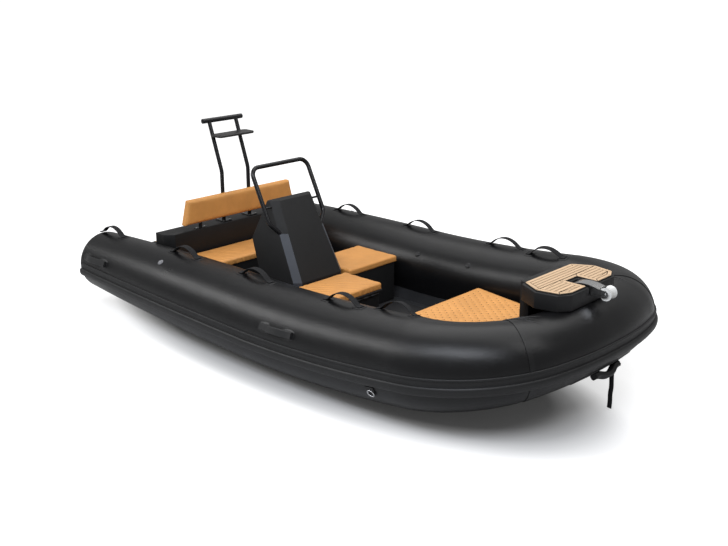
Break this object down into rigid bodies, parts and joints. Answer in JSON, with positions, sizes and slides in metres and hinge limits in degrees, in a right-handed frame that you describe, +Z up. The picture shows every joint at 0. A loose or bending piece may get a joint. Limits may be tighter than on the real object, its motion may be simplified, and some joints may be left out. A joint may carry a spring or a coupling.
{
  "type": "rigid inflatable boat",
  "caption": "Small rigid inflatable boat with a tubular collar, a side console with grab rail, padded seats, a bow step with roller and a raked light mast.",
  "frame": {"origin": "on the waterline, amidships, half of the collar's length forward of the tube ends", "axes": "+X to the bow, +Y to port, +Z up"},
  "size_m": [3.6839, 2.0802, 1.4368],
  "materials": {
    "collar_fabric": "satin",
    "collar_caps": "satin",
    "strake_rubber": "matt",
    "webbing": "woven",
    "handle_rubber": "matt",
    "hull_shell": "satin",
    "engine_pad_plastic": "matt",
    "deck_panel_plastic": "textured",
    "deck_moulding": "satin",
    "box_moulding": "satin",
    "cushion_cover": "satin",
    "quilted_cover": "quilted",
    "hinge_steel": "brushed",
    "foam_decking": "matt",
    "polished_steel": "polished",
    "roller_plastic": "gloss",
    "console_moulding": "matt",
    "black_tube": "satin",
    "platform_plastic": "satin",
    "backrest_cover": "satin",
    "valve_plastic": "matt",
    "ring_steel": "polished"
  },
  "bodies": {
    "boat": {"tube_starboard": "collar_fabric", "tube_port": "collar_fabric", "tube_bow": "collar_fabric", "tube_end_caps": "collar_caps", "rub_strake_starboard": "strake_rubber", "rub_strake_port": "strake_rubber", "rub_strake_bow": "strake_rubber", "strap_handles_starboard": "webbing", "strap_handles_port": "webbing", "bow_strap": "webbing", "carry_handles_starboard": "handle_rubber", "carry_handles_port": "handle_rubber", "bow_tow_handle": "handle_rubber", "hull": "hull_shell", "transom": "hull_shell", "engine_pad": "engine_pad_plastic", "deck_panel": "deck_panel_plastic", "foredeck": "deck_moulding", "front_seat_box": "box_moulding", "side_seat_box": "box_moulding", "rear_bench_box": "box_moulding", "bow_locker_box": "box_moulding", "aft_box": "box_moulding", "stern_boxes": "box_moulding", "bow_step_box": "box_moulding", "side_seat_cushion": "cushion_cover", "rear_bench_cushion": "cushion_cover", "front_seat_hinge": "hinge_steel", "bow_locker_hinge": "hinge_steel", "bow_step_decking": "foam_decking", "stern_decking": "foam_decking", "roller_bracket": "polished_steel", "roller_pin": "polished_steel", "console_body": "console_moulding", "console_grab_rail": "black_tube", "mast": "black_tube", "mast_flanges": "black_tube", "backrest_posts": "black_tube", "mast_platform": "platform_plastic", "backrest": "backrest_cover", "inflation_valves": "valve_plastic", "tow_rings": "ring_steel", "tow_ring_pads": "handle_rubber"},
    "bow_roller": {"bow_roller": "roller_plastic"},
    "bow_locker_lid": {"bow_locker_lid": "box_moulding", "bow_locker_cushion": "quilted_cover"},
    "front_seat_lid": {"front_seat_lid": "box_moulding", "front_seat_cushion": "cushion_cover"}
  },
  "joints": [
    {"name": "bow_roller_spin", "type": "hinge", "parent": "boat", "child": "bow_roller", "pos_m": [1.741, 0, 0.681], "axis": [0, 1, 0], "continuous": true},
    {"name": "bow_locker_lid_hinge", "type": "hinge", "parent": "boat", "child": "bow_locker_lid", "pos_m": [1.195, 0, 0.277], "axis": [0, 1, 0], "range_deg": [0, 90]},
    {"name": "front_seat_lid_hinge", "type": "hinge", "parent": "boat", "child": "front_seat_lid", "pos_m": [0.1896, -0.2625, 0.332], "axis": [0, 1, 0], "range_deg": [0, 100]}
  ]
}
